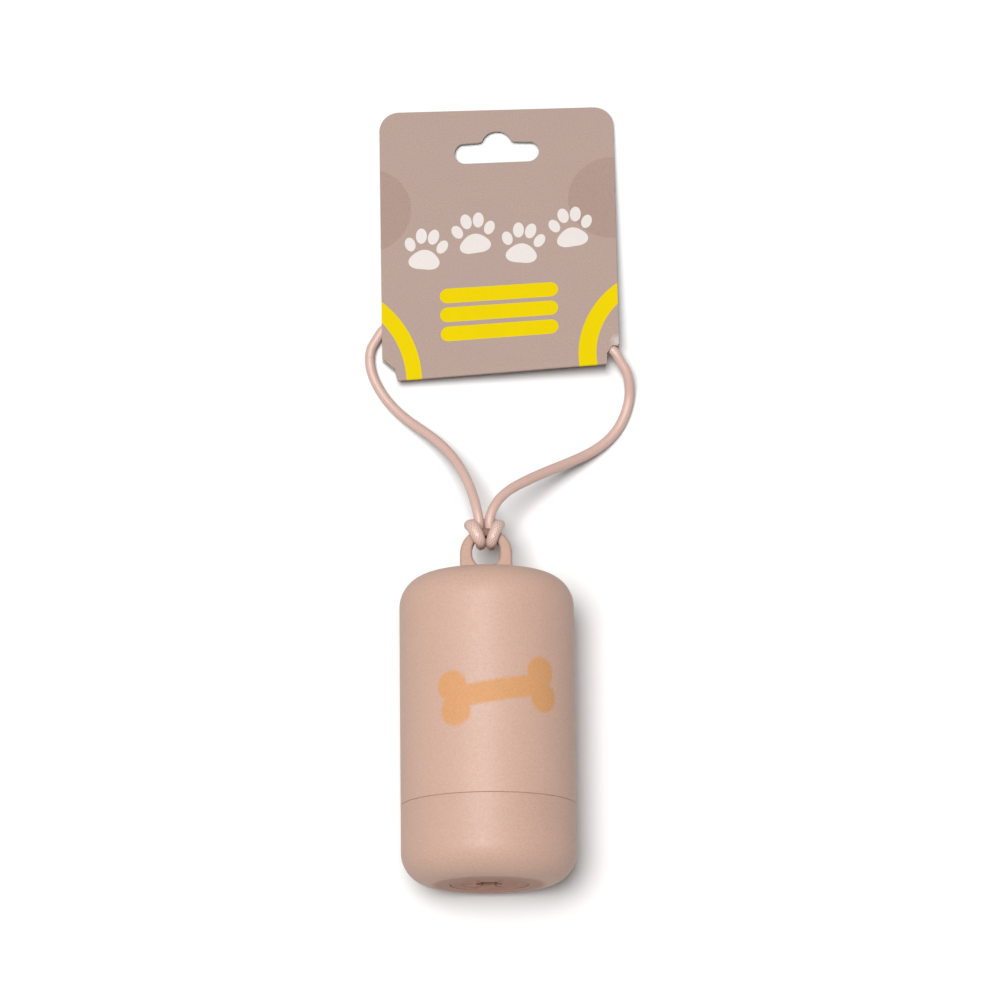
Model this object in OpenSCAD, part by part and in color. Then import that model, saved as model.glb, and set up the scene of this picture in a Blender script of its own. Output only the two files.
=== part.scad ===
// Pocket dispenser for rolled bags, lying on its side as a flat-lay.
// A round capsule with a screw cap, an eye at its closed end, an elastic
// cord loop tied into the eye with a cow hitch, and a folded header card
// hung on the loop.
// Frame: +Z up, the surface it lies on is z = 0. The capsule's axis runs
// along Y at half its diameter, the cap is at the -Y end and the eye at +Y.

/* [Capsule] */
// Outside diameter of the capsule
body_d = 44; // [43:0.5:46]
// Length over the two flat ends, without the eye
body_len = 78.7; // [78:0.1:84]
// Radius of the rounded edge at both ends
edge_r = 8.2; // [6:0.1:9]
// Radius of the barrel's bore
bore_r = 18.8; // [18.6:0.1:19]
// Thickness of the barrel's closed end
end_wall = 2.6; // [2:0.1:3.5]

/* [Cap] */
// Length of the cap, from its flat end to the seam
cap_len = 19.95; // [18:0.05:24]
// Width of the seam between cap and barrel
seam_gap = 0.05; // [0.05:0.05:0.5]
// Inside radius of the cap and its collar
cap_bore_r = 18.4; // [18:0.1:18.5]
// Outside radius of the screw collar
collar_r = 19.45; // [19.3:0.05:19.5]
// Length of the screw collar beyond the cap's shoulder
collar_len = 8; // [7.5:0.1:8.5]
// Radius of the recess for the soft insert's lip
dish_r = 9.9; // [9.8:0.1:12]
// Depth of that recess
dish_h = 0.5; // [0.5:0.1:0.8]
// Thickness of the cap's end at the recess
cap_floor = 2.7; // [2:0.1:3]
// Radius of the outlet hole that holds the soft insert
outlet_r = 8; // [7:0.1:9]

/* [Thread] */
// Travel of the cap in one full turn, two starts
thread_lead = 6; // [5.6:0.1:6.4]
// Height of a ridge, from its wall
ridge_h = 0.65; // [0.5:0.05:0.65]
// Width of a ridge at its foot
ridge_w = 1.3; // [1:0.1:1.4]
// Width of a ridge at its crest
ridge_tip = 0.6; // [0.4:0.1:0.7]

/* [Outlet insert] */
// Radius of the hole in the middle of the petals
petal_hole_r = 3.4; // [3.2:0.1:4]
// Number of slits between the petals
petal_slits = 6; // [4:1:8]
// Width of a slit
slit_w = 0.45; // [0.3:0.05:0.8]

/* [Eye] */
// Distance of the eye's hole from the barrel's closed end
eye_off = 5.5; // [5.2:0.1:7]
// Outside radius of the eye
eye_r = 6.6; // [6.4:0.1:7.5]
// Radius of the eye's hole
eye_hole_r = 3.5; // [3.3:0.1:3.8]
// How much longer than wide the eye's hole is
eye_hole_more = 1; // [0.9:0.05:1.1]
// Thickness of the eye
eye_t = 4; // [3.4:0.1:4]
// Rounding of the eye's edges
eye_edge = 0.8; // [0.4:0.1:1]

/* [Roll] */
// Outside radius of the wound film
roll_r = 15.9; // [12:0.1:16]
// Length of the wound film
roll_len = 60.6; // [50:0.1:61]
// Outside radius of the cardboard core
core_r = 7.5; // [6.5:0.1:9]
// Thickness of the core
core_t = 1; // [0.8:0.1:1.5]

/* [Cord] */
// Diameter of the elastic cord
cord_d = 2.5; // [2.2:0.1:2.5]
// Outside diameter of the crimp on the cord
crimp_d = 3.4; // [3:0.1:3.5]
// Length of the crimp
crimp_len = 7; // [5:0.5:9]

/* [Card] */
// Width of the header card
card_w = 61; // [60:0.2:62]
// Height of the header card
card_h = 73.3; // [70:0.1:76]
// Thickness of one panel of the card
card_t = 0.45; // [0.35:0.05:0.5]
// Radius of the card's two free corners
card_corner = 5.2; // [3:0.2:8]
// Clear gap between the panels, where the cord runs
card_gap = 3.1; // [3:0.1:3.2]
// Width of the peg slot
slot_w = 22; // [18:0.5:26]
// Height of the peg slot's two wings
slot_h = 5.8; // [5:0.1:6.5]
// Radius of the peg slot's hump
hump_r = 4; // [3:0.1:5]

/* [Hidden] */

R = body_d / 2;
axis_z = R;
around = 144; // facets round the capsule
// the eye's tip and the cap's flat end lie at equal distances from y = 0
total_len = body_len + eye_off + eye_r;
end_y = -total_len / 2;
top_y = end_y + body_len;
eye_y = top_y + eye_off;
seam_y = end_y + cap_len;
rim_y = seam_y + seam_gap / 2;
shoulder_y = seam_y - seam_gap / 2;
collar_end = shoulder_y + collar_len;
thread_bore_r = 20.4;
thread_end = collar_end + 0.4;
seal_bore_r = 21.1;
seal_end = rim_y + 1.3;
in_edge = 5.4;
floor_in = end_y + dish_h + cap_floor;
roll_z = axis_z - (cap_bore_r - roll_r - 0.25);
roll_y = -5.5;
cr = cord_d / 2;
skin = [0.87, 0.745, 0.67];
skin2 = [0.85, 0.72, 0.645];
cordcol = [0.88, 0.74, 0.69];
// the cord and card keep their place relative to the eye
dy = eye_y - 38.8;

// Turned parts: profiles are (radius, y), turned about the capsule's axis.
// Half a facet's turn puts a flat facet underneath, so that it rests on one.
module turned() translate([0, 0, axis_z]) rotate([-90, 0, 0]) rotate([0, 0, 180 / around]) children();

// A round bar's half profile from y0 to y1, its far corner rounded by e.
// flip puts the rounded corner at y0.
module half_bar(r, y0, y1, e, flip = false) {
    square_y = flip ? y0 + e : y0;
    translate([0, square_y]) square([r, y1 - y0 - e]);
    translate([0, y0]) square([r - e, y1 - y0]);
    translate([r - e, flip ? y0 + e : y1 - e]) circle(e, $fn = e > 6 ? 80 : 40);
}

// A helical ridge about the local Z axis, right-handed.
// It stands from radius r0, sunk a little into its wall, to radius r1.
module ridge(r0, r1, z0, a0, a1, steps) {
    s = r1 > r0 ? -0.2 : 0.2;
    tip = ridge_tip / 2;
    foot = ridge_w / 2;
    pts = [for (i = [0 : steps])
        let (a = a0 + (a1 - a0) * i / steps, z = z0 + thread_lead * (a - a0) / 360,
             e = (i == 0 || i == steps) ? 0.3 : 1)
        each [for (q = [[r0 + s, -foot], [r0 + (r1 - r0) * e, -tip], [r0 + (r1 - r0) * e, tip], [r0 + s, foot]])
            [q[0] * cos(a), q[0] * sin(a), z + q[1]]]];
    out = r1 > r0;
    faces = concat(
        [out ? [3, 2, 1, 0] : [0, 1, 2, 3]],
        [for (i = [0 : steps - 1], j = [0 : 3])
            let (a = i * 4 + j, b = i * 4 + (j + 1) % 4, c = a + 4, d = b + 4)
            each (out ? [[a, b, d], [a, d, c]] : [[a, d, b], [a, c, d]])],
        [out ? [for (j = [0 : 3]) steps * 4 + j] : [for (j = [3 : -1 : 0]) steps * 4 + j]]);
    polyhedron(pts, faces);
}

// Thread phase: the cap's two ridges and the barrel's two ridges share one
// helix, half a pitch apart, so the cap screws freely between them.
thread_y = shoulder_y + 2;

module barrel() {
    color(skin) union() {
        turned() rotate_extrude($fn = around) difference() {
            half_bar(R, rim_y, top_y, edge_r);
            half_bar(bore_r, thread_end - 1, top_y - end_wall, in_edge);
            translate([0, rim_y - 1]) square([thread_bore_r, thread_end - rim_y + 1]);
            translate([0, rim_y - 1]) square([seal_bore_r, seal_end - rim_y + 1]);
            polygon([[R - 0.13, rim_y - 0.01], [R + 0.1, rim_y - 0.01], [R + 0.1, rim_y + 0.22]]);
        }
        for (k = [0, 180])
            turned() rotate([0, 0, k])
                ridge(thread_bore_r, thread_bore_r - ridge_h, thread_y + 1.5 + thread_lead * 30 / 360, 30, 150, 12);
        eye();
    }
}

// The flat eye at the closed end, its edges rounded.
module eye() {
    difference() {
        union() {
            translate([0, eye_y, axis_z]) rotate_extrude($fn = 120) rounded_half(eye_r, eye_t, eye_edge);
            translate([0, top_y - 1.2, axis_z]) rotate([-90, 0, 0])
                linear_extrude(eye_off + 1.2) rounded_rect(2 * eye_r, eye_t, eye_edge);
        }
        // the hole, a little longer than wide, its edges rounded
        for (d = [0, eye_hole_more]) translate([0, eye_y + d, axis_z]) rotate_extrude($fn = 120) eye_cut();
        translate([0, eye_y + eye_hole_more, axis_z]) rotate([90, 0, 0]) linear_extrude(eye_hole_more) {
            eye_cut();
            mirror([1, 0]) eye_cut();
        }
    }
}

// Half section of what the eye's hole takes away.
module eye_cut() difference() {
    translate([0, -eye_t / 2 - 0.5]) square([eye_hole_r + eye_edge, eye_t + 1]);
    difference() {
        translate([eye_hole_r, -eye_t / 2]) square([eye_edge + 1, eye_t]);
        for (m = [-1, 1]) difference() {
            translate([eye_hole_r - 1, m > 0 ? eye_t / 2 - eye_edge : -eye_t / 2 - 1])
                square([1 + eye_edge, eye_edge + 1]);
            translate([eye_hole_r + eye_edge, m * (eye_t / 2 - eye_edge)]) circle(eye_edge, $fn = 32);
        }
    }
}

// Half section of a disc with rounded rim, for turning.
module rounded_half(r, t, e) {
    translate([0, -t / 2]) square([r - e, t]);
    translate([0, -t / 2 + e]) square([r, t - 2 * e]);
    for (m = [-1, 1]) translate([r - e, m * (t / 2 - e)]) circle(e, $fn = 48);
}

module rounded_rect(w, t, e) {
    square([w - 2 * e, t], center = true);
    square([w, t - 2 * e], center = true);
    for (i = [-1, 1], j = [-1, 1]) translate([i * (w / 2 - e), j * (t / 2 - e)]) circle(e, $fn = 48);
}

module end_cap() {
    color(skin2) union() {
        turned() rotate_extrude($fn = around) difference() {
            union() {
                half_bar(R, end_y, shoulder_y, edge_r, flip = true);
                translate([0, shoulder_y - 1]) square([collar_r, collar_len + 1]);
            }
            half_bar(cap_bore_r, floor_in, collar_end + 1, in_edge, flip = true);
            translate([0, end_y - 1]) square([dish_r, dish_h + 1]);
            translate([0, end_y - 1]) square([outlet_r, 10]);
            polygon([[R - 0.13, shoulder_y + 0.01], [R + 0.1, shoulder_y + 0.01], [R + 0.1, shoulder_y - 0.22]]);
            polygon([[collar_r - 0.3, collar_end + 0.01], [collar_r + 0.1, collar_end + 0.01],
                     [collar_r + 0.1, collar_end - 0.39]]);
        }
        for (k = [0, 180])
            turned() rotate([0, 0, k]) ridge(collar_r, collar_r + ridge_h, thread_y, 0, 306, 34);
    }
}

// Soft ring in the seam, round the foot of the collar.
module cap_seal() {
    color([0.35, 0.29, 0.26]) turned() rotate_extrude($fn = 120)
        translate([collar_r + 0.65, shoulder_y + 0.6]) circle(0.55, $fn = 48);
}

// Soft insert in the outlet: two lips hold it, petals close round the bag.
module outlet_grommet() {
    y0 = end_y + dish_h;
    y1 = floor_in;
    color([0.62, 0.5, 0.44]) turned() difference() {
        rotate_extrude($fn = 120) {
            translate([outlet_r - 1, y0 - 0.4]) square([1, y1 - y0 + 1.1]);
            translate([outlet_r - 1, y0 - 0.4]) square([2.7, 0.4]);
            translate([outlet_r - 1, y1]) square([2.6, 0.7]);
            translate([petal_hole_r, y0 - 0.3]) square([outlet_r - petal_hole_r - 0.8, 1]);
        }
        for (k = [0 : petal_slits - 1]) rotate([0, 0, k * 360 / petal_slits])
            translate([petal_hole_r - 0.6, -slit_w / 2, y0 - 1.3])
                cube([outlet_r - 1.2 - petal_hole_r + 0.6, slit_w, 3]);
    }
}

module on_roll_axis() translate([0, roll_y, roll_z]) rotate([-90, 0, 0]) children();

module roll_core() {
    color([0.72, 0.6, 0.47]) on_roll_axis() difference() {
        cylinder(r = core_r, h = roll_len + 0.4, center = true, $fn = 96);
        cylinder(r = core_r - core_t, h = roll_len + 2, center = true, $fn = 96);
    }
}

module bag_roll() {
    color([0.2, 0.2, 0.22]) on_roll_axis() rotate_extrude($fn = 120) difference() {
        union() {
            translate([0, -roll_len / 2]) square([roll_r - 0.5, roll_len]);
            translate([0, -roll_len / 2 + 0.5]) square([roll_r, roll_len - 1]);
            for (m = [-1, 1]) translate([roll_r - 0.5, m * (roll_len / 2 - 0.5)]) circle(0.5, $fn = 32);
        }
        translate([-1, -roll_len]) square([core_r + 1, 2 * roll_len]);
    }
}

// ---- the cord ----
// Points of the route, round numbers in millimetres. The hitch: the bight
// lies behind both legs, curls round their outside, comes down over the
// front of the eye's bar, goes through the hole and up behind the bar.
hitch_pts = [
    [0.95, 48.2, 19.6], [0.95, 46.6, 19.2], [1.1, 44.9, 18.6], [1.2, 43.3, 18.5], [1.25, 41.9, 19.3],
    [1.25, 41.4, 21.0], [1.25, 41.4, 23.0], [1.4, 41.7, 24.5], [1.75, 42.7, 25.3], [2.3, 44.0, 25.4],
    [2.95, 45.35, 25.1], [3.35, 46.1, 23.5], [3.45, 46.5, 21.3], [3.55, 47.2, 19.0], [2.4, 47.9, 17.0],
    [-0.4, 48.1, 16.4], [-3.1, 47.9, 17.0], [-4.3, 47.2, 19.0], [-4.0, 46.5, 21.3], [-3.65, 46.05, 23.5],
    [-3.25, 45.3, 25.1], [-2.6, 44.1, 25.4], [-1.95, 42.8, 25.3], [-1.5, 41.8, 24.5], [-1.35, 41.5, 23.0],
    [-1.35, 41.5, 21.0], [-1.4, 42.0, 19.3], [-1.5, 43.4, 18.5], [-1.7, 44.9, 18.6], [-1.75, 46.6, 19.2],
    [-1.75, 48.2, 19.6]];
// Left leg, from the hitch down to the surface and round to the card.
leg_left_pts = [
    [-2, 49.8, 19.7], [-3.3, 55.4, 18], [-6, 62.4, 14.4], [-10.8, 70, 9], [-14.7, 74, 6],
    [-19.2, 77.8, 3.4], [-23, 81.4, 2], [-27.7, 88, 1.4], [-29.6, 94, 1.6], [-28.9, 98.5, 1.9]];
// Right leg, a wider arc on the surface that climbs to the card's notch.
leg_right_pts = [
    [1.3, 49.8, 19.7], [4.7, 55.3, 18], [9.5, 59, 15], [16.5, 63.2, 10.2], [23.9, 67.3, 5.4],
    [29.6, 71.1, 2.5], [33.1, 74.5, 1.5], [35.9, 79.2, 1.3], [37.2, 83.8, 2], [37.15, 88.1, 4],
    [36.2, 91, 5.3]];
// The stretch between the card's two panels.
inner_pts = [
    [-28.1, 99.8, 2], [-26.8, 101.8, 2.25], [-24, 104.2, 2.2], [-19, 105.3, 2.3], [-9, 104.8, 2.65],
    [3, 103.2, 3.35], [15, 101.2, 4.3], [25, 98.9, 5.35], [30.5, 97.2, 6], [33.6, 95, 6.5],
    [35.4, 92.2, 5.7]];

function unit(v) = v / norm(v);
function moved(P) = [for (p = P) [p[0], p[1] + dy, p[2]]];
function tangent(P, i) = unit(P[min(i + 1, len(P) - 1)] - P[max(i - 1, 0)]);
function square_to(n, t) = unit(n - (n * t) * t);
// Normals that turn as little as possible from ring to ring.
function normals(P) = [for (i = 0, n = square_to(cross(tangent(P, 0), [0.3, 0.2, 1]), tangent(P, 0));
    i < len(P); i = i + 1, n = i < len(P) ? square_to(n, tangent(P, i)) : n) n];

// A tube of radius r along P. nose rounds both of its ends.
module tube(P, r, nose = false, sides = 8) {
    m = len(P);
    ta = tangent(P, 0);
    tb = tangent(P, m - 1);
    N = normals(P);
    centres = concat(nose ? [P[0] - ta * r * 0.96, P[0] - ta * r * 0.7] : [], P,
                     nose ? [P[m - 1] + tb * r * 0.7, P[m - 1] + tb * r * 0.96] : []);
    axes = concat(nose ? [[ta, N[0]], [ta, N[0]]] : [], [for (i = [0 : m - 1]) [tangent(P, i), N[i]]],
                  nose ? [[tb, N[m - 1]], [tb, N[m - 1]]] : []);
    radii = concat(nose ? [r * 0.28, r * 0.71] : [], [for (p = P) r], nose ? [r * 0.71, r * 0.28] : []);
    k = len(centres);
    pts = [for (i = [0 : k - 1]) each [for (j = [0 : sides - 1])
        let (a = 360 * j / sides, t = axes[i][0], n = axes[i][1], b = cross(t, n))
        centres[i] + radii[i] * (cos(a) * n + sin(a) * b)]];
    faces = concat(
        [[for (j = [0 : sides - 1]) j]],
        [for (i = [0 : k - 2], j = [0 : sides - 1])
            let (a = i * sides + j, b = i * sides + (j + 1) % sides, c = a + sides, d = b + sides)
            each [[a, c, d], [a, d, b]]],
        [[for (j = [sides - 1 : -1 : 0]) (k - 1) * sides + j]]);
    polyhedron(pts, faces);
}

module cord_hitch() { color(cordcol) tube(moved(hitch_pts), cr); }
module cord_leg_left() { color(cordcol) tube(moved(leg_left_pts), cr, nose = true); }
module cord_leg_right() { color(cordcol) tube(moved(leg_right_pts), cr, nose = true); }
module cord_inner() { color(cordcol) tube(moved(inner_pts), cr); }

// Crimp on the cord's joined ends, between the card's panels.
crimp_at = [-3, 104, 3];
crimp_dir = unit([12, -1.6, 0.7]);
module cord_ferrule() {
    color([0.78, 0.79, 0.8]) translate(crimp_at + [0, dy, 0])
        rotate([0, acos(crimp_dir[2]), atan2(crimp_dir[1], crimp_dir[0])]) difference() {
            cylinder(d = crimp_d, h = crimp_len, center = true, $fn = 48);
            cylinder(r = cr, h = crimp_len + 2, center = true, $fn = 48);
        }
}

// ---- the card ----
// One board folded at its lower edge. Its front panel is a ruled surface:
// the right lower corner stands a little higher, the upper edge lies down.
// The fold is a little out of square with the sides.
card_bl = [-26.3, 88.1 + dy, 4.9];
card_along = [1, 0.057, 0.067];
card_along_top = [1, 0.0175, 0];
card_up = [-0.008, 0.998, -0.048];
card_br = card_bl + card_w * card_along;
card_tl = card_bl + card_h * card_up;
card_tr = card_tl + card_w * card_along_top;
function card_at(u, v) = let (a = u / card_w, b = v / card_h)
    (1 - a) * (1 - b) * card_bl + a * (1 - b) * card_br + (1 - a) * b * card_tl + a * b * card_tr;
function card_xy(u, v) = let (p = card_at(u, v)) [p[0], p[1]];
// Share of the full gap at a height v above the fold.
gap_share = [[0, 0], [0.5, 0.25], [1.2, 0.6], [2.4, 0.88], [4, 1], [16, 1], [21, 0.93],
             [30, 0.6], [38, 0.28], [45, 0.03], [48, 0]];
function gap_at(u, v) = lookup(v, gap_share) * (card_gap + sin(180 * min(max(u / card_w, 0), 1)));

us = [-1, 6, 12, 17, 23, 28, 33, 38, 45, 51, 56, card_w + 1];
vs = [0, 0.5, 1.2, 2.4, 4, 10, 16, 21, 30, 38, 45, 48, 56, card_h + 1];
vs_in = [0.5, 1.2, 2.4, 4, 10, 16, 21, 30, 38, 45];

// A solid between two grids of points, top and bottom.
module between(top, bot, n, m) {
    N = n * m;
    function id(i, j) = i * m + j;
    faces = concat(
        [for (i = [0 : n - 2], j = [0 : m - 2])
            let (a = id(i, j), b = id(i, j + 1), c = id(i + 1, j + 1), d = id(i + 1, j))
            each [[a, b, c], [a, c, d], [N + a, N + c, N + b], [N + a, N + d, N + c]]],
        [for (j = [0 : m - 2]) let (a = id(0, j), b = id(0, j + 1), c = id(n - 1, j), d = id(n - 1, j + 1))
            each [[b, a, N + a], [b, N + a, N + b], [c, d, N + d], [c, N + d, N + c]]],
        [for (i = [0 : n - 2]) let (a = id(i, 0), b = id(i + 1, 0), c = id(i, m - 1), d = id(i + 1, m - 1))
            each [[a, b, N + b], [a, N + b, N + a], [d, c, N + c], [d, N + c, N + d]]]);
    polyhedron(concat(top, bot), faces);
}

module uv_prism(P) translate([0, 0, -3]) linear_extrude(24) polygon([for (p = P) card_xy(p[0], p[1])]);

card_outline = concat(
    [[3.9, -1], [card_w - 3.15, -1], [card_w - 3.1, 3.1], [card_w - 1.6, 5.2], [card_w - 0.3, 4.95], [card_w, 5.6]],
    [for (a = [0 : 10 : 90]) [card_w - card_corner + card_corner * cos(a), card_h - card_corner + card_corner * sin(a)]],
    [for (a = [90 : 10 : 180]) [card_corner + card_corner * cos(a), card_h - card_corner + card_corner * sin(a)]],
    [[0, 6.4], [3.3, 3.3]]);

slot_v = card_h - 11.95;
slot_outline = concat(
    [for (a = [-90 : 15 : 90]) [card_w / 2 + slot_w / 2 - 1.4 + 1.4 * cos(a), slot_v + (a < 0 ? -1 : 1) * (slot_h / 2 - 1.4) + 1.4 * sin(a)]],
    [for (a = [15 : 15 : 165]) [card_w / 2 + hump_r * cos(a), slot_v + slot_h / 2 - 1 + hump_r * sin(a)]],
    [for (a = [90 : 15 : 270]) [card_w / 2 - slot_w / 2 + 1.4 + 1.4 * cos(a), slot_v + (a > 180 ? -1 : 1) * (slot_h / 2 - 1.4) + 1.4 * sin(a)]]);

module header_card() {
    color([0.74, 0.65, 0.6]) difference() {
        intersection() {
            between([for (u = us, v = vs) card_at(u, v)],
                    [for (u = us, v = vs) card_at(u, v) - [0, 0, 2 * card_t + gap_at(u, v)]],
                    len(us), len(vs));
            uv_prism(card_outline);
        }
        between([for (u = us, v = vs_in) card_at(u, v) - [0, 0, card_t]],
                [for (u = us, v = vs_in) card_at(u, v) - [0, 0, card_t + gap_at(u, v)]],
                len(us), len(vs_in));
        uv_prism(slot_outline);
    }
}

barrel();
end_cap();
cap_seal();
outlet_grommet();
roll_core();
bag_roll();
cord_hitch();
cord_leg_left();
cord_leg_right();
cord_inner();
cord_ferrule();
header_card();
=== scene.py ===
import bpy
import math
import numpy as np
from mathutils import Matrix, Vector, geometry, noise


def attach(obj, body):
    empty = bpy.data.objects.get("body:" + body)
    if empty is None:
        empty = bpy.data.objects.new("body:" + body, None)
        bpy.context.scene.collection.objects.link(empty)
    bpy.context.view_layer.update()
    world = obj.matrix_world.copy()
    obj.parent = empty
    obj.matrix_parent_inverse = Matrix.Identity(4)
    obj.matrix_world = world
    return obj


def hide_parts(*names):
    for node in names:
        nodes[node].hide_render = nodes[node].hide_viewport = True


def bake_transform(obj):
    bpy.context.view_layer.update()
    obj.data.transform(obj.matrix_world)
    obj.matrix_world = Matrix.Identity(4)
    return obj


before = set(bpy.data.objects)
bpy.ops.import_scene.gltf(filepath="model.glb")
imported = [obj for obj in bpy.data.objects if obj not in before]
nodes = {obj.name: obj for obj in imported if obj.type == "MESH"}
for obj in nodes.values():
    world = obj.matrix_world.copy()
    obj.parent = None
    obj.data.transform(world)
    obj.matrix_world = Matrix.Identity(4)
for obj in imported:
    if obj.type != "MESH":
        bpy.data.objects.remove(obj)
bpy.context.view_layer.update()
MM = 0.001


# ---------------------------------------------------------------- small helpers
def lin(r, g, b):
    """Linear colour from screen values 0 to 255."""
    def one(c):
        c = c / 255.0
        return c / 12.92 if c <= 0.04045 else ((c + 0.055) / 1.055) ** 2.4
    return (one(r), one(g), one(b), 1.0)


def unit(v):
    v = np.asarray(v, float)
    return v / np.linalg.norm(v)


def smooth(x):
    x = np.clip(x, 0.0, 1.0)
    return x * x * (3 - 2 * x)


def link_object(name, mesh):
    o = bpy.data.objects.new(name, mesh)
    bpy.context.scene.collection.objects.link(o)
    return o


def mesh_from(name, verts_mm, faces, smooth_faces=True):
    """A mesh from points in millimetres."""
    me = bpy.data.meshes.new(name)
    me.from_pydata((np.asarray(verts_mm, float) * MM).tolist(), [], faces)
    me.polygons.foreach_set("use_smooth", [smooth_faces] * len(me.polygons))
    me.update()
    return me


def point_values(me, name, values):
    a = me.attributes.new(name, "FLOAT", "POINT")
    a.data.foreach_set("value", np.asarray(values, np.float32))


# ---------------------------------------------------------------- camera
EL = math.radians(77.572)
ROLL = math.radians(-0.5722)
LOOK = Vector((0.003657, 0.057805, 0.0))
fwd = Vector((0, math.cos(EL), -math.sin(EL)))
up0 = Vector((0, math.sin(EL), math.cos(EL)))
rt0 = Vector((1, 0, 0))
rt = math.cos(ROLL) * rt0 + math.sin(ROLL) * up0
up = -math.sin(ROLL) * rt0 + math.cos(ROLL) * up0
cam_data = bpy.data.cameras.new("view")
cam_data.lens = 202.96
cam_data.sensor_width = 36.0
cam_data.sensor_fit = "HORIZONTAL"
cam_data.clip_start, cam_data.clip_end = 0.05, 20.0
camera = link_object("view", cam_data)
spot = LOOK - fwd * 1.4511
camera.matrix_world = Matrix(((rt.x, up.x, -fwd.x, spot.x),
                              (rt.y, up.y, -fwd.y, spot.y),
                              (rt.z, up.z, -fwd.z, spot.z),
                              (0, 0, 0, 1)))
bpy.context.scene.camera = camera


# ---------------------------------------------------------------- node helpers
class Mat:
    """A material with a few short-hands for its nodes."""

    def __init__(self, name):
        self.m = bpy.data.materials.new(name)
        self.m.use_nodes = True
        self.t = self.m.node_tree
        self.t.nodes.clear()
        self.out = self.t.nodes.new("ShaderNodeOutputMaterial")
        self.p = self.t.nodes.new("ShaderNodeBsdfPrincipled")
        self.t.links.new(self.p.outputs[0], self.out.inputs[0])

    def set(self, name, value):
        self.p.inputs[name].default_value = value
        return self

    def link(self, a, b):
        self.t.links.new(a, b)

    def coords(self, kind="Object"):
        return self.t.nodes.new("ShaderNodeTexCoord").outputs[kind]

    def attr(self, name, out="Fac"):
        n = self.t.nodes.new("ShaderNodeAttribute")
        n.attribute_name = name
        return n.outputs[out]

    def mapping(self, vector, scale=(1, 1, 1), loc=(0, 0, 0), rot=(0, 0, 0)):
        n = self.t.nodes.new("ShaderNodeMapping")
        n.inputs["Scale"].default_value = scale
        n.inputs["Location"].default_value = loc
        n.inputs["Rotation"].default_value = rot
        self.link(vector, n.inputs["Vector"])
        return n.outputs[0]

    def noise(self, vector, scale, detail=3.0, rough=0.55, distortion=0.0):
        n = self.t.nodes.new("ShaderNodeTexNoise")
        n.inputs["Scale"].default_value = scale
        n.inputs["Detail"].default_value = detail
        n.inputs["Roughness"].default_value = rough
        n.inputs["Distortion"].default_value = distortion
        self.link(vector, n.inputs["Vector"])
        return n.outputs["Fac"]

    def voronoi(self, vector, scale, feature="F1", out="Distance", rand=1.0):
        n = self.t.nodes.new("ShaderNodeTexVoronoi")
        n.feature = feature
        n.inputs["Scale"].default_value = scale
        n.inputs["Randomness"].default_value = rand
        self.link(vector, n.inputs["Vector"])
        return n.outputs[out]

    def range(self, value, a, b, c, d, clamp=True):
        n = self.t.nodes.new("ShaderNodeMapRange")
        n.clamp = clamp
        for k, v in zip(("From Min", "From Max", "To Min", "To Max"), (a, b, c, d)):
            n.inputs[k].default_value = v
        self.link(value, n.inputs["Value"])
        return n.outputs[0]

    def math(self, op, a, b=None):
        n = self.t.nodes.new("ShaderNodeMath")
        n.operation = op
        for i, v in enumerate((a, b)):
            if v is None:
                continue
            if isinstance(v, (int, float)):
                n.inputs[i].default_value = v
            else:
                self.link(v, n.inputs[i])
        return n.outputs[0]

    def mix(self, fac, a, b, blend="MIX"):
        n = self.t.nodes.new("ShaderNodeMix")
        n.data_type = "RGBA"
        n.blend_type = blend
        for i, v in ((0, fac), (6, a), (7, b)):
            if isinstance(v, (int, float)):
                n.inputs[i].default_value = v
            elif isinstance(v, tuple):
                n.inputs[i].default_value = v
            else:
                self.link(v, n.inputs[i])
        return n.outputs[2]

    def ramp(self, value, stops):
        n = self.t.nodes.new("ShaderNodeValToRGB")
        e = n.color_ramp.elements
        while len(e) < len(stops):
            e.new(0.5)
        for el, (pos, col) in zip(e, stops):
            el.position = pos
            el.color = col
        self.link(value, n.inputs[0])
        return n.outputs[0]

    def bump(self, height, distance, strength=1.0, normal=None):
        n = self.t.nodes.new("ShaderNodeBump")
        n.inputs["Distance"].default_value = distance
        n.inputs["Strength"].default_value = strength
        self.link(height, n.inputs["Height"])
        if normal is not None:
            self.link(normal, n.inputs["Normal"])
        return n.outputs[0]

    def split(self, vector):
        n = self.t.nodes.new("ShaderNodeSeparateXYZ")
        self.link(vector, n.inputs[0])
        return n.outputs[0], n.outputs[1], n.outputs[2]

    def from_axis(self, x, z, z0):
        """How far a place is from the line x = 0, z = z0."""
        dz = self.math("SUBTRACT", z, z0)
        return self.math("SQRT", self.math("ADD", self.math("MULTIPLY", x, x), self.math("MULTIPLY", dz, dz)))

    def finish(self, colour=None, rough=None, normal=None):
        if colour is not None:
            self.link(colour, self.p.inputs["Base Color"])
        if rough is not None:
            self.link(rough, self.p.inputs["Roughness"])
        if normal is not None:
            self.link(normal, self.p.inputs["Normal"])
        return self.m


def shade(c, k):
    return (c[0] * k, c[1] * k, c[2] * k, 1.0)


def tint(c, k):
    return (c[0] * k[0], c[1] * k[1], c[2] * k[2], 1.0)


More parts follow.
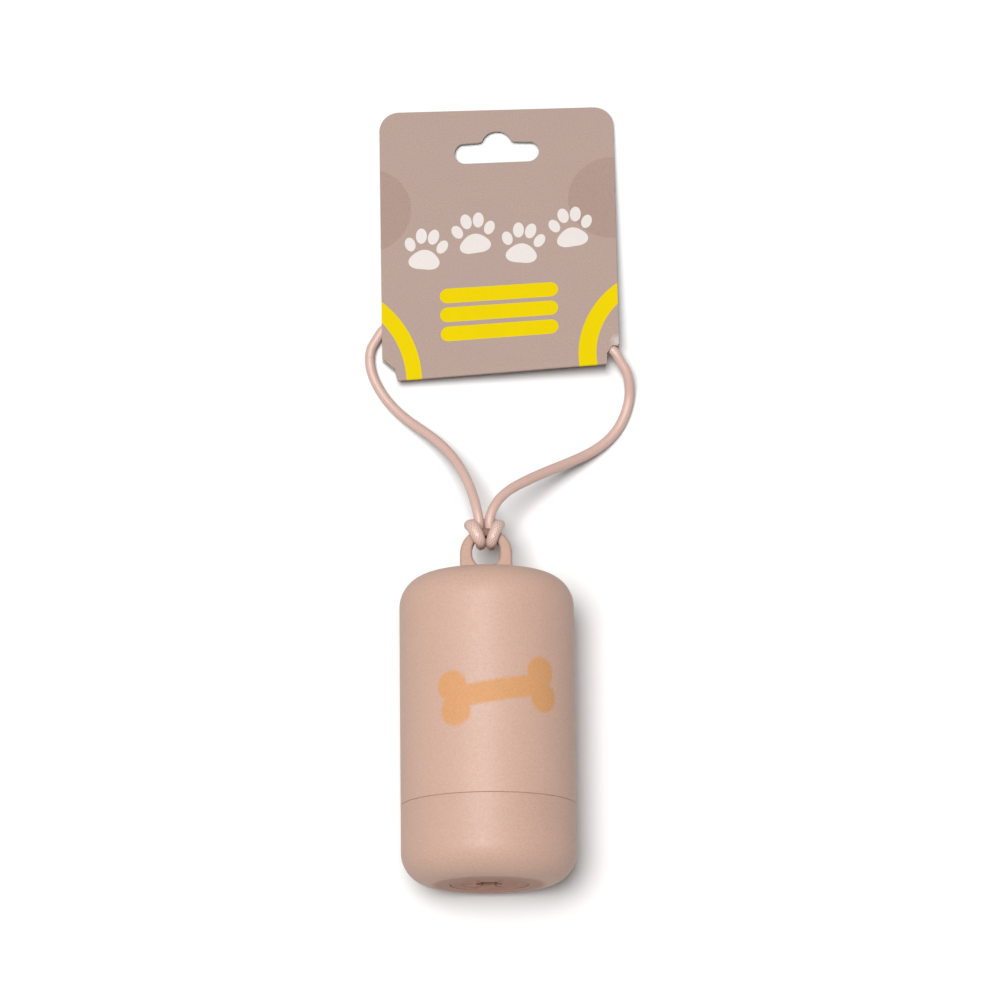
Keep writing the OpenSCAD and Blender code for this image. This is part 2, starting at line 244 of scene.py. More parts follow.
def matte_shell(name, base, seed, zones):
    """Soft matte moulded plastic: fine spark-eroded grain, faint mottling, and zones of another tone, which are print
    and painted shade.
    """
    m = Mat(name)
    m.set("Specular IOR Level", 0.34)
    co = m.mapping(m.coords(), loc=(seed, seed * 0.37, seed * 0.11))
    big = m.noise(co, 55, 3, 0.5)
    mid = m.noise(co, 1000, 2, 0.5)
    fine = m.noise(co, 2300, 2, 0.6)
    c = m.mix(m.range(big, 0.3, 0.7, 0, 1), shade(base, 0.955), shade(base, 1.02))
    c = m.mix(m.range(mid, 0.3, 0.7, 0, 0.26), c, tint(base, (0.92, 0.905, 0.89)))
    c = m.mix(m.range(fine, 0.36, 0.64, 0, 0.52), c, tint(base, (1.17, 1.2, 1.23)))
    r = m.range(mid, 0.25, 0.75, 0.47, 0.57)
    for place, tone in zones:
        where = place(m)
        c = m.mix(where, c, (tone[0], tone[1], tone[2], 1.0), "MULTIPLY")
        r = m.math("ADD", r, m.math("MULTIPLY", where, 0.2))
    grain = m.math("ADD", m.math("MULTIPLY", fine, 0.7), m.math("MULTIPLY", mid, 0.35))
    return m.finish(c, r, m.bump(grain, 0.00005, 0.45))


# Painted shade: the eye tab's flat top is coloured darker, as if it lay in shade.
def eye_tab_painted_shade(m):
    x, y, z = m.split(m.coords())
    return m.range(y, 0.0333, 0.0352, 0, 0.75)


def bar_painted_shade(m):
    """Painted shade on the eye's bar, where it lies in the narrow gap between the cord's collars."""
    x, y, z = m.split(m.coords())
    side = m.math("ABSOLUTE", m.math("ADD", x, 0.0003))
    return m.math("MULTIPLY", m.range(side, 0.0024, 0.0042, 1, 0), m.range(y, 0.0412, 0.0436, 0, 0.95))


def bone_zone(m):
    """A plain bone, pad-printed round the barrel's side in soft orange."""
    x, y, z = m.split(m.coords())
    turn = m.math("ARCTAN2", x, m.math("SUBTRACT", z, 0.022))
    u = m.math("SUBTRACT", m.math("MULTIPLY", turn, 0.022), 0.0031)
    v = m.math("SUBTRACT", y, 0.0002)
    c, s = math.cos(math.radians(9)), math.sin(math.radians(9))
    a = m.math("ABSOLUTE", m.math("ADD", m.math("MULTIPLY", u, c), m.math("MULTIPLY", v, s)))
    b = m.math("ABSOLUTE", m.math("SUBTRACT", m.math("MULTIPLY", v, c), m.math("MULTIPLY", u, s)))
    bar = m.math("MAXIMUM", m.math("SUBTRACT", a, 0.0106), m.math("SUBTRACT", b, 0.0027))
    da, db = m.math("SUBTRACT", a, 0.0118), m.math("SUBTRACT", b, 0.0031)
    knob = m.math("SUBTRACT", m.math("SQRT", m.math("ADD", m.math("MULTIPLY", da, da), m.math("MULTIPLY", db, db))), 0.0039)
    edge = m.math("ADD", m.math("MINIMUM", bar, knob), m.range(m.noise(m.coords(), 1500, 2), 0.3, 0.7, -0.0002, 0.0002))
    return m.range(edge, -0.00045, 0.00045, 0.85, 0)


def cap_end_painted_shade(m):
    """Painted shade on the cap's flat end, which is coloured darker."""
    x, y, z = m.split(m.coords())
    inner = m.range(m.from_axis(x, z, 0.022), 0.0131, 0.0149, 1, 0)
    return m.math("MULTIPLY", inner, m.range(y, -0.0454, -0.0444, 1, 0.8))


def rubber(name, base, seed):
    m = Mat(name)
    m.set("Specular IOR Level", 0.08)
    co = m.mapping(m.coords(), loc=(seed, 0, 0))
    big = m.noise(co, 220, 3)
    fine = m.noise(co, 4200, 2)
    c = m.mix(m.range(big, 0.3, 0.7, 0, 1), shade(base, 0.9), shade(base, 1.1))
    c = m.mix(m.range(fine, 0.4, 0.65, 0, 0.3), c, shade(base, 1.2))
    return m.finish(c, m.range(fine, 0.3, 0.7, 0.7, 0.86), m.bump(fine, 0.00004, 0.5))


SHELL = lin(185, 152, 136)
# the eye's zone and the bar's zone are painted shade; the bone is print
shell_mat = matte_shell("shell_matte", SHELL, 0.0, ((eye_tab_painted_shade, (0.8, 0.8, 0.8)), (bar_painted_shade, (0.5, 0.44, 0.42)),
                                                  (bone_zone, (1.09, 0.8, 0.36))))
# the cap's flat end is painted shade
cap_mat = matte_shell("cap_matte", lin(183, 150, 134), 3.1, ((cap_end_painted_shade, (0.82, 0.72, 0.68)),))
seal_mat = rubber("seal_rubber", lin(104, 82, 72), 1.3)
grommet_mat = rubber("grommet_rubber", lin(172, 134, 118), 2.2)


def put(name, material):
    o = nodes[name]
    o.data.materials.clear()
    o.data.materials.append(material)
    o.data.polygons.foreach_set("material_index", [0] * len(o.data.polygons))


put("barrel", shell_mat)
put("end_cap", cap_mat)
put("cap_seal", seal_mat)
put("outlet_grommet", grommet_mat)


# ---------------------------------------------------------------- the cord's route (millimetres)
CORD_D = 2.5
HITCH = [(0.95, 48.2, 19.6), (0.95, 46.6, 19.2), (1.1, 44.9, 18.6), (1.2, 43.3, 18.5), (1.25, 41.9, 19.3),
         (1.25, 41.4, 21.0), (1.25, 41.4, 23.0), (1.4, 41.7, 24.5), (1.75, 42.7, 25.3), (2.3, 44.0, 25.4),
         (2.95, 45.35, 25.1), (3.35, 46.1, 23.5), (3.45, 46.5, 21.3), (3.55, 47.2, 19.0), (2.4, 47.9, 17.0),
         (-0.4, 48.1, 16.4), (-3.1, 47.9, 17.0), (-4.3, 47.2, 19.0), (-4.0, 46.5, 21.3), (-3.65, 46.05, 23.5),
         (-3.25, 45.3, 25.1), (-2.6, 44.1, 25.4), (-1.95, 42.8, 25.3), (-1.5, 41.8, 24.5), (-1.35, 41.5, 23.0),
         (-1.35, 41.5, 21.0), (-1.4, 42.0, 19.3), (-1.5, 43.4, 18.5), (-1.7, 44.9, 18.6), (-1.75, 46.6, 19.2),
         (-1.75, 48.2, 19.6)]
LEG_LEFT = [(-2, 49.8, 19.7), (-3.3, 55.4, 18), (-6, 62.4, 14.4), (-10.8, 70, 9), (-14.7, 74, 6),
            (-19.2, 77.8, 3.4), (-23, 81.4, 2), (-27.7, 88, 1.4), (-29.6, 94, 1.6), (-28.9, 98.5, 1.9)]
LEG_RIGHT = [(1.3, 49.8, 19.7), (4.7, 55.3, 18), (9.5, 59, 15), (16.5, 63.2, 10.2), (23.9, 67.3, 5.4),
             (29.6, 71.1, 2.5), (33.1, 74.5, 1.5), (35.9, 79.2, 1.3), (37.2, 83.8, 2), (37.15, 88.1, 4),
             (36.2, 91, 5.3)]
INNER = [(-28.1, 99.8, 2), (-26.8, 101.8, 2.25), (-24, 104.2, 2.2), (-19, 105.3, 2.3), (-9, 104.8, 2.65),
         (3, 103.2, 3.35), (15, 101.2, 4.3), (25, 98.9, 5.35), (30.5, 97.2, 6), (33.6, 95, 6.5),
         (35.4, 92.2, 5.7)]


class Loop:
    """A smooth closed curve through points: a periodic cubic spline."""

    def __init__(self, pts):
        p = np.array(pts, float)
        n = len(p)
        h = np.linalg.norm(np.roll(p, -1, 0) - p, axis=1)
        t = np.concatenate([[0], np.cumsum(h)])
        a = np.zeros((n, n))
        r = np.zeros((n, 3))
        for i in range(n):
            hp, hn = h[i - 1], h[i]
            a[i, (i - 1) % n] += hp
            a[i, i] += 2 * (hp + hn)
            a[i, (i + 1) % n] += hn
            r[i] = 6 * ((p[(i + 1) % n] - p[i]) / hn - (p[i] - p[i - 1]) / hp)
        self.p, self.h, self.t, self.n = p, h, t, n
        self.m = np.linalg.solve(a, r)

    def at(self, x):
        x = np.mod(np.asarray(x, float), self.t[-1])
        i = np.clip(np.searchsorted(self.t, x, side="right") - 1, 0, self.n - 1)
        j = (i + 1) % self.n
        h = self.h[i][:, None]
        b = ((x - self.t[i]) / self.h[i])[:, None]
        a = 1 - b
        return (a * self.p[i] + b * self.p[j]
                + ((a ** 3 - a) * self.m[i] + (b ** 3 - b) * self.m[j]) * h * h / 6)


route = LEG_LEFT[::-1] + HITCH[::-1] + LEG_RIGHT + INNER[::-1]
loop_curve = Loop(route)
fine_t = np.linspace(0, loop_curve.t[-1], 24001)
fine_p = loop_curve.at(fine_t)
fine_p[-1] = fine_p[0]
fine_s = np.concatenate([[0], np.cumsum(np.linalg.norm(np.diff(fine_p, axis=0), axis=1))])
TOTAL = fine_s[-1]


def s_of(point):
    """How far along the loop its point nearest to this one is."""
    return fine_s[np.linalg.norm(fine_p - np.array(point, float), axis=1).argmin()]


def on_loop(s):
    s = np.mod(s, TOTAL)
    return np.stack([np.interp(s, fine_s, fine_p[:, k]) for k in range(3)], 1)


# frames that turn as little as possible, the rest of the turn spread evenly
STEPS = 2600
ring_s = np.linspace(0, TOTAL, STEPS + 1)
ring_p = on_loop(ring_s[:-1])
ring_t = np.roll(ring_p, -1, 0) - np.roll(ring_p, 1, 0)
ring_t /= np.linalg.norm(ring_t, axis=1)[:, None]
ring_n = np.zeros_like(ring_t)
n0 = np.array([0, 0, 1.0])
n0 = unit(n0 - (n0 @ ring_t[0]) * ring_t[0])
for i in range(STEPS):
    n0 = unit(n0 - (n0 @ ring_t[i]) * ring_t[i])
    ring_n[i] = n0
last = unit(ring_n[-1] - (ring_n[-1] @ ring_t[0]) * ring_t[0])
first_b = np.cross(ring_t[0], ring_n[0])
gap_angle = math.atan2(last @ first_b, last @ ring_n[0])
turn = -gap_angle * np.arange(STEPS) / STEPS
ring_b = np.cross(ring_t, ring_n)
ring_n, ring_b = (np.cos(turn)[:, None] * ring_n + np.sin(turn)[:, None] * ring_b,
                  -np.sin(turn)[:, None] * ring_n + np.cos(turn)[:, None] * ring_b)

CARRIERS = 12                                   # strands each way round the braid
PITCH = TOTAL / round(TOTAL / 0.74)             # a strand's step along the cord
SIDES = 60


def braid(theta, s):
    """Height of the braid's surface, 0 to 1, and which way its top strand runs."""
    a = CARRIERS * theta / (2 * math.pi) + s / PITCH
    b = CARRIERS * theta / (2 * math.pi) - s / PITCH
    fa, fb = a - np.floor(a), b - np.floor(b)
    ia, ib = np.floor(a), np.floor(b)
    za = np.where(ia % 2 == 0, 1, -1) * np.cos(math.pi * (b - 0.5))
    zb = -np.where(ib % 2 == 0, 1, -1) * np.cos(math.pi * (a - 0.5))
    ha = np.sqrt(np.clip(1 - (2 * fa - 1) ** 2 * 0.96, 0, 1)) + 0.45 * za
    hb = np.sqrt(np.clip(1 - (2 * fb - 1) ** 2 * 0.96, 0, 1)) + 0.45 * zb
    top = np.maximum(ha, hb)
    return np.clip((top - 0.3) / 1.15, 0, 1), np.where(ha > hb, 1.0, 0.0)


def fullness(s):
    """The elastic is thicker where it lies slack and squashed over the eye's bar."""
    s = np.mod(s, TOTAL)
    out = np.ones_like(s)
    for point, more, half in (((2.3, 44.0, 25.4), 0.14, 3.6), ((-2.6, 44.1, 25.4), 0.18, 3.6)):
        d = np.abs(s - s_of(point))
        out += more * (1 - smooth((d - half * 0.55) / (half * 0.9)))
    mid = s_of((23.9, 67.3, 5.4))
    out += 0.05 * (1 - smooth((np.abs(s - mid) - 18) / 8))
    return out


def spread(s):
    """How much wider than thick the cord is where the left turn of the hitch lies pressed."""
    d = np.abs(np.mod(s, TOTAL) - s_of((-2.75, 44.4, 25.3)))
    return 1 + 0.13 * (1 - smooth((d - 1.2) / 2.2))


def cord_piece(name, s0, s1, step=0.13):
    """A braided tube along the loop from s0 to s1, closed at both ends."""
    count = max(8, int(round((s1 - s0) / step)))
    s = np.linspace(s0, s1, count + 1)
    centre = on_loop(s)
    f = np.mod(s, TOTAL) / TOTAL * STEPS
    i0 = np.floor(f).astype(int) % STEPS
    i1 = (i0 + 1) % STEPS
    w = (f - np.floor(f))[:, None]

    def blend_ring(v):
        out = v[i0] * (1 - w) + v[i1] * w
        return out / np.linalg.norm(out, axis=1)[:, None]
    n, b = blend_ring(ring_n), blend_ring(ring_b)
    theta = np.arange(SIDES) / SIDES * 2 * math.pi
    sg, tg = np.meshgrid(s, theta, indexing="ij")
    high, way = braid(tg, sg)
    r = (CORD_D / 2 - 0.1 + 0.12 * high) * fullness(s)[:, None]
    d = r[..., None] * (np.cos(tg)[..., None] * n[:, None, :] + np.sin(tg)[..., None] * b[:, None, :])
    d[..., :2] *= spread(s)[:, None, None]
    v = centre[:, None, :] + d
    v[..., 2] = np.maximum(v[..., 2], 0.03)         # lies on the surface, not in it
    verts = np.vstack([v.reshape(-1, 3), centre[:1], centre[-1:]])
    k = len(verts)
    faces = []
    for i in range(count):
        for j in range(SIDES):
            q = (j + 1) % SIDES
            faces.append((i * SIDES + j, i * SIDES + q, (i + 1) * SIDES + q, (i + 1) * SIDES + j))
    for j in range(SIDES):
        q = (j + 1) % SIDES
        faces.append((k - 2, q, j))
        faces.append((k - 1, count * SIDES + j, count * SIDES + q))
    me = mesh_from(name, verts, faces)
    point_values(me, "relief", np.append(high.ravel(), [0.5, 0.5]))
    point_values(me, "way", np.append(way.ravel(), [0, 0]))
    slack = np.clip((fullness(s) - 1.05) / 0.07, 0, 1) * (0.5 + 0.5 * smooth((centre[:, 0] + 1) / 2))
    point_values(me, "slack", np.append(np.repeat(slack, SIDES), [0, 0]))
    point_values(me, "along", np.append(sg.ravel(), [s0, s1]))
    point_values(me, "round", np.append((tg * CORD_D / 2).ravel(), [0, 0]))
    return link_object(name, me), centre


E_LEFT = np.array([-28.9, 98.5, 1.9])
E_RIGHT = np.array([36.2, 91.0, 5.3])
s_left, s_right = s_of(E_LEFT), s_of(E_RIGHT)
seam_left = s_left + 3.2          # the loop runs from the left hinge down the left leg
seam_right = s_right - 3.2
cord, cord_line = cord_piece("elastic_cord", seam_left, seam_right)
inner, inner_line = cord_piece("elastic_cord_in_card", seam_right, TOTAL + seam_left)


def cord_material():
    m = Mat("elastic_braid")
    m.set("Specular IOR Level", 0.5)
    relief, way, slack = m.attr("relief"), m.attr("way"), m.attr("slack")
    comb = m.t.nodes.new("ShaderNodeCombineXYZ")
    m.link(m.math("MULTIPLY", m.attr("along"), 1.0), comb.inputs[0])
    m.link(m.math("MULTIPLY", m.attr("round"), 1.0), comb.inputs[1])
    m.link(m.math("MULTIPLY", way, 7.0), comb.inputs[2])
    co = comb.outputs[0]
    # fibres run with each strand, one way or the other
    one = m.noise(m.mapping(co, scale=(3.2, 26, 1), rot=(0, 0, math.radians(41))), 1.0, 2)
    two = m.noise(m.mapping(co, scale=(3.2, 26, 1), rot=(0, 0, math.radians(-41))), 1.0, 2)
    fibre = m.mix(way, two, one)
    tone = m.noise(co, 0.35, 3)
    fleck = m.noise(co, 5.5, 2)
    base = lin(199, 167, 158)
    # painted shade: the braid's valleys, where the relief is low, are coloured darker
    c = m.mix(m.range(relief, 0.0, 0.72, 1, 0), base, lin(118, 78, 70))
    c = m.mix(m.range(tone, 0.35, 0.65, 0, 0.4), c, lin(204, 173, 155))
    c = m.mix(m.range(fleck, 0.54, 0.68, 0, 0.5), c, lin(230, 214, 205))
    c = m.mix(m.range(fibre, 0.35, 0.65, 0.22, 0), c, lin(176, 136, 124))
    # slack over the bar the pale sheath bunches up, and painted shade puts brown specks in the valleys between its
    # strands
    c = m.mix(m.math("MULTIPLY", slack, 0.6), c, lin(215, 194, 184))
    valley_shade_specks = m.math("MULTIPLY", m.range(relief, 0.34, 0.86, 0.85, 0), m.range(fleck, 0.4, 0.56, 0.45, 1))
    c = m.mix(m.math("MULTIPLY", slack, valley_shade_specks), c, lin(150, 106, 84))
    return m.finish(c, m.range(fibre, 0.2, 0.8, 0.27, 0.42), m.bump(fibre, 0.00004, 0.5))


cord_mat = cord_material()
for o in (cord, inner):
    o.data.materials.append(cord_mat)
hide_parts("cord_hitch", "cord_leg_left", "cord_leg_right")
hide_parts("cord_inner")
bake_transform(cord)
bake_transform(inner)


# ---------------------------------------------------------------- the header card
CARD_W, CARD_H, CARD_T, CARD_GAP, CARD_CORNER = 61.0, 73.3, 0.45, 3.1, 5.2
BL = np.array([-26.3, 88.1, 4.9])
BR = BL + CARD_W * np.array([1, 0.057, 0.067])
TL = BL + CARD_H * np.array([-0.008, 0.998, -0.048])
TR = TL + CARD_W * np.array([1, 0.0175, 0])
Q0, FOLD = 0.5, 0.7             # the fold takes the strip from 0.5 down to -0.2


def gap(u, v):
    """Clear distance between the two panels."""
    low = 1 - (1 - np.clip((v - Q0) / 3.4, 0, 1)) ** 2.4
    high = 1 - smooth((v - 14) / 33)
    return low * high * (CARD_GAP + np.sin(math.pi * np.clip(u / CARD_W, 0, 1))) + 0.015


def waves(u, v):
    return 0.05 * np.sin(u * 0.11 + 0.8) * np.sin(v * 0.07 + 0.4) + 0.03 * np.sin(u * 0.19 + v * 0.13)


def card_mid(u, q):
    """The middle of the board's thickness at a place (u, q) of the board laid flat."""
    u, q = np.asarray(u, float), np.asarray(q, float)
    v = np.where(q >= Q0, q, 2 * Q0 - FOLD - q)
    v = np.where((q < Q0) & (q > Q0 - FOLD), Q0, v)
    w = np.where(q >= Q0, CARD_T / 2, 1.5 * CARD_T + gap(u, v))
    phi = np.clip((Q0 - q) / FOLD, 0, 1) * math.pi
    in_fold = (q < Q0) & (q > Q0 - FOLD)
    half = CARD_T / 2
    v = np.where(in_fold, Q0 - half * np.sin(phi), v)
    w = np.where(in_fold, CARD_T - half * np.cos(phi) + 0.015 * phi / math.pi, w)
    a, b = (u / CARD_W)[..., None], (v / CARD_H)[..., None]
    p = (1 - a) * (1 - b) * BL + a * (1 - b) * BR + (1 - a) * b * TL + a * b * TR
    p[..., 2] += -w + waves(u, v)
    return p


def card_normal(u, q):
    d = 0.02
    a = card_mid(u + d, q) - card_mid(u - d, q)
    b = card_mid(u, q + d) - card_mid(u, q - d)
    n = np.cross(a, b)
    return n / np.linalg.norm(n, axis=-1)[..., None]


def arc(cx, cy, r, a0, a1, n):
    return [(cx + r * math.cos(math.radians(a0 + (a1 - a0) * i / n)),
             cy + r * math.sin(math.radians(a0 + (a1 - a0) * i / n))) for i in range(n + 1)]


def inside(poly, pts):
    """Which points lie in a polygon."""
    p = np.asarray(poly, float)
    x, y = pts[:, 0], pts[:, 1]
    hit = np.zeros(len(pts), bool)
    for (x0, y0), (x1, y1) in zip(p, np.roll(p, -1, 0)):
        if y0 == y1:
            continue
        cross = ((y0 > y) != (y1 > y)) & (x < (x1 - x0) * (y - y0) / (y1 - y0) + x0)
        hit ^= cross
    return hit


def pill(x0, y0, x1, y1, r):
    a = math.degrees(math.atan2(y1 - y0, x1 - x0))
    return arc(x1, y1, r, a - 90, a + 90, 20) + arc(x0, y0, r, a + 90, a + 270, 20)


def mirrored(pts):
    """The same place on the back panel."""
    return [(u, 2 * Q0 - FOLD - v) for u, v in pts][::-1]


right_up = [(57.85, 0.0), (57.9, 3.1), (59.4, 5.2), (60.7, 4.95), (61.0, 5.6)]
left_down = [(0.0, 6.4), (3.3, 3.3), (3.9, 0.0)]
front_edge = (right_up + arc(CARD_W - CARD_CORNER, CARD_H - CARD_CORNER, CARD_CORNER, 0, 90, 14)
              + arc(CARD_CORNER, CARD_H - CARD_CORNER, CARD_CORNER, 90, 180, 14) + left_down)
outline = front_edge + mirrored(front_edge)
SLOT_V = CARD_H - 11.95
slot_edge = (arc(CARD_W / 2 + 11 - 2.9, SLOT_V, 2.9, -90, 66, 14)
             + [(CARD_W / 2 + 5.0, SLOT_V + 2.85), (CARD_W / 2 + 4.2, SLOT_V + 3.0)]
             + arc(CARD_W / 2, SLOT_V + 1.95, 4.0, 20, 160, 22)
             + [(CARD_W / 2 - 4.2, SLOT_V + 3.0), (CARD_W / 2 - 5.0, SLOT_V + 2.85)]
             + arc(CARD_W / 2 - 11 + 2.9, SLOT_V, 2.9, 114, 270, 14))


def paw(cu, cv, size, turn):
    """A plain paw print: a pad and four toes."""
    c, s = math.cos(math.radians(turn)), math.sin(math.radians(turn))

    def place(pts):
        return [(cu + size * (x * c - y * s), cv + size * (x * s + y * c)) for x, y in pts]
    pad = []
    for i in range(48):
        a = 2 * math.pi * i / 48
        r = 0.4 + 0.035 * math.cos(3 * (a - math.pi / 2)) - 0.03 * math.cos(2 * a + math.pi)
        pad.append((r * 1.1 * math.cos(a), -0.32 + r * 0.86 * math.sin(a)))
    out = [place(pad)]
    for x, y, w, h, lean in ((-0.5, 0.16, 0.16, 0.23, 24), (-0.19, 0.46, 0.17, 0.25, 8),
                             (0.19, 0.46, 0.17, 0.25, -8), (0.5, 0.16, 0.16, 0.23, -24)):
        cl, sl = math.cos(math.radians(lean)), math.sin(math.radians(lean))
        out.append(place([(x + w * math.cos(a) * cl - h * math.sin(a) * sl,
                           y + w * math.cos(a) * sl + h * math.sin(a) * cl)
                          for a in np.linspace(0, 2 * math.pi, 29)[:-1]]))
    return out


def print_shapes():
    """Plain bands, bars, discs and paw prints in the card's ink colours: (polygon, material index)."""
    shapes = []
    # two darker discs, cut by the sides
    shapes.append((arc(-3.4, 46.6, 11.4, 0, 360, 72)[:-1], 2))
    shapes.append((arc(60.4, 47.2, 11.6, 0, 360, 72)[:-1], 2))
    # a yellow band round each lower corner, on over the fold
    shapes.append((arc(-19.2, -0.6, 29.4, 52, -4, 48) + arc(-19.2, -0.6, 25.4, -4, 52, 48), 1))
    shapes.append((arc(74.3, 3.1, 23.7, 118, 190, 48) + arc(74.3, 3.1, 19.1, 190, 118, 48), 1))
    # three blank bars
    for v, u0, u1 in ((22.1, 17.1, 43.7), (16.95, 17.1, 43.6), (11.7, 17.2, 43.6)):
        shapes.append((pill(u0, v, u1, v, 2.0), 1))
    # a track of paw prints
    for i, (u, v) in enumerate(((11.6, 34.9), (24.2, 38.6), (36.8, 35.2), (49.4, 38.9))):
        shapes += [(poly, 3) for poly in paw(u, v, 8.4, (-8, 6)[i % 2])]
    return shapes


def build_card():
    shapes = print_shapes()
    verts, edges = [], []

    def ring(poly, closed=True):
        base = len(verts)
        verts.extend(Vector(p) for p in poly)
        n = len(poly)
        edges.extend((base + i, base + (i + 1) % n) for i in range(n if closed else n - 1))
    ring(outline)
    ring(slot_edge)
    ring(mirrored(slot_edge))
    for poly, _ in shapes:
        ring(poly)
    # rows across the fold and the curved part behind it, so that they bend cleanly
    rows = list(np.linspace(Q0, Q0 - FOLD, 11)) + [Q0 - FOLD - d for d in (0.1, 0.22, 0.36, 0.55, 0.8, 1.1, 1.5, 1.95, 2.5, 3.1, 3.9)]
    cols = np.linspace(0, CARD_W, 39)
    for q in rows:
        v = q if q >= 0 else 2 * Q0 - FOLD - q if q < Q0 - FOLD else 0.0
        v = max(v, 0.0)
        lo = np.interp(v, [0, 3.3, 6.4], [3.9, 3.3, 0])
        hi = np.interp(v, [0, 3.1, 5.2, 5.6], [57.85, 57.9, 59.4, 61])
        xs = [lo] + [c for c in cols if lo + 0.4 < c < hi - 0.4] + [hi]
        ring([(x, q) for x in xs], closed=False)
    for q in np.arange(1.6, CARD_H, 1.9):
        for sign in (1, -1):
            qq = q if sign > 0 else Q0 - FOLD - 3.4 - q
            for i, x in enumerate(np.arange(1.0 + (0.9 if int(q * 10) % 2 else 0), CARD_W, 1.9)):
                verts.append(Vector((x, qq)))
    out = geometry.delaunay_2d_cdt(verts, edges, [], 0, 1e-4, False)
    flat = np.array([tuple(v) for v in out[0]], float)
    tris = np.array([f for f in out[2] if len(f) == 3], int)
    a, b, c = flat[tris[:, 0]], flat[tris[:, 1]], flat[tris[:, 2]]
    area = (b[:, 0] - a[:, 0]) * (c[:, 1] - a[:, 1]) - (b[:, 1] - a[:, 1]) * (c[:, 0] - a[:, 0])
    tris[area < 0] = tris[area < 0][:, ::-1]
    mids = (a + b + c) / 3
    keep = inside(outline, mids) & ~inside(slot_edge, mids) & ~inside(mirrored(slot_edge), mids) & (abs(area) > 1e-7)
    tris, mids = tris[keep], mids[keep]
    ink = np.zeros(len(tris), int)
    for poly, k in shapes:
        ink[inside(poly, mids) & (mids[:, 1] > -0.15)] = k
    used, tris = np.unique(tris, return_inverse=True)
    tris = tris.reshape(-1, 3)
    flat = flat[used]
    u, q = flat[:, 0], flat[:, 1]
    mid_p, n = card_mid(u, q), card_normal(u, q)
    top, under = mid_p + n * CARD_T / 2, mid_p - n * CARD_T / 2
    k = len(flat)
    faces = [tuple(t) for t in tris] + [tuple(t[::-1] + k) for t in tris]
    index = list(ink) + [4] * len(tris)
    count = {}
    for t in tris:
        for e in ((t[0], t[1]), (t[1], t[2]), (t[2], t[0])):
            count[e] = count.get(e, 0) + 1
    for (i, j) in sorted(count):
        if (j, i) not in count:
            faces.append((i, i + k, j + k, j))
            index.append(5)
    me = mesh_from("header_card_folded", np.vstack([top, under]), [tuple(int(x) for x in f) for f in faces])
    me.polygons.foreach_set("material_index", index)
    me.polygons.foreach_set("use_smooth", [bool(i < 5) for i in index])
    point_values(me, "card_u", np.append(u, u))
    point_values(me, "card_q", np.append(q, q))
    me.set_sharp_from_angle(angle=math.radians(40))
    return link_object("header_card_folded", me)


def paper(name, base, seed, rough=(0.55, 0.7), fleck=0.5, light=1.09, shine=0.12, worn=None):
    """Coated board: flat ink over paper with a faint fibre."""
    m = Mat(name)
    m.set("Specular IOR Level", shine)
    comb = m.t.nodes.new("ShaderNodeCombineXYZ")
    m.link(m.attr("card_u"), comb.inputs[0])
    m.link(m.attr("card_q"), comb.inputs[1])
    co = m.mapping(comb.outputs[0], loc=(seed, seed, seed))
    cloud = m.noise(co, 0.09, 3)
    fibre = m.noise(m.mapping(co, scale=(1.0, 2.3, 1.0), rot=(0, 0, 0.3)), 2.6, 4, 0.7)
    grain = m.noise(co, 2.4, 3, 0.75)
    c = m.mix(m.range(cloud, 0.3, 0.7, 0, 1), shade(base, 0.972), shade(base, 1.025))
    c = m.mix(m.range(fibre, 0.35, 0.7, 0, 0.7), c, shade(base, light))
    c = m.mix(m.range(grain, 0.38, 0.62, 0.9 * fleck, 0), c, shade(base, 0.88))
    if worn is not None:                            # ink rubbed off a corner, down to the pale paper
        du = m.math("SUBTRACT", m.attr("card_u"), worn[0])
        dq = m.math("SUBTRACT", m.attr("card_q"), worn[1])
        away = m.math("SQRT", m.math("ADD", m.math("MULTIPLY", du, du), m.math("MULTIPLY", dq, dq)))
        ragged = m.math("ADD", away, m.range(m.noise(co, 1.1, 3), 0.3, 0.7, -0.5, 0.5))
        c = m.mix(m.range(ragged, worn[2] * 0.25, worn[2], 0.6, 0), c, lin(196, 188, 184))
    height = m.math("ADD", m.math("MULTIPLY", fibre, 0.7), m.math("MULTIPLY", grain, 0.3))
    return m.finish(c, m.range(fibre, 0.25, 0.75, rough[0], rough[1]), m.bump(height, 0.00004, 0.4))


BOARD = lin(162, 141, 132)
card = build_card()
for m in (paper("board_print", BOARD, 0.0, fleck=1.0, worn=(60.8, 6.3, 2.3)), paper("ink_yellow", lin(207, 184, 0), 4.0, (0.6, 0.72), 0.25, 1.03, 0.04),
          paper("ink_tone", tint(BOARD, (0.91, 0.865, 0.845)), 2.0, fleck=1.0), paper("ink_white", lin(205, 198, 194), 6.0, (0.5, 0.62), 0.3, 1.04),
          paper("board_inside", lin(182, 176, 167), 8.0, (0.7, 0.85), 1.0),
          paper("board_cut", lin(190, 181, 172), 9.0, (0.75, 0.9), 1.0)):
    card.data.materials.append(m)
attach(card, "card")
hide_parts("header_card")


# ---------------------------------------------------------------- crimp, cardboard core and wound film
def metal(name, base):
    m = Mat(name)
    m.set("Metallic", 1.0)
    co = m.coords()
    n = m.noise(m.mapping(co, scale=(60, 900, 900)), 6, 3)
    c = m.mix(m.range(n, 0.3, 0.7, 0, 1), shade(base, 0.85), shade(base, 1.1))
    return m.finish(c, m.range(n, 0.3, 0.7, 0.28, 0.45), m.bump(n, 0.00003, 0.4))


ROLL_Y, ROLL_Z, ROLL_R, ROLL_LEN, CORE_R = -5.5, 19.75, 15.9, 60.6, 7.5


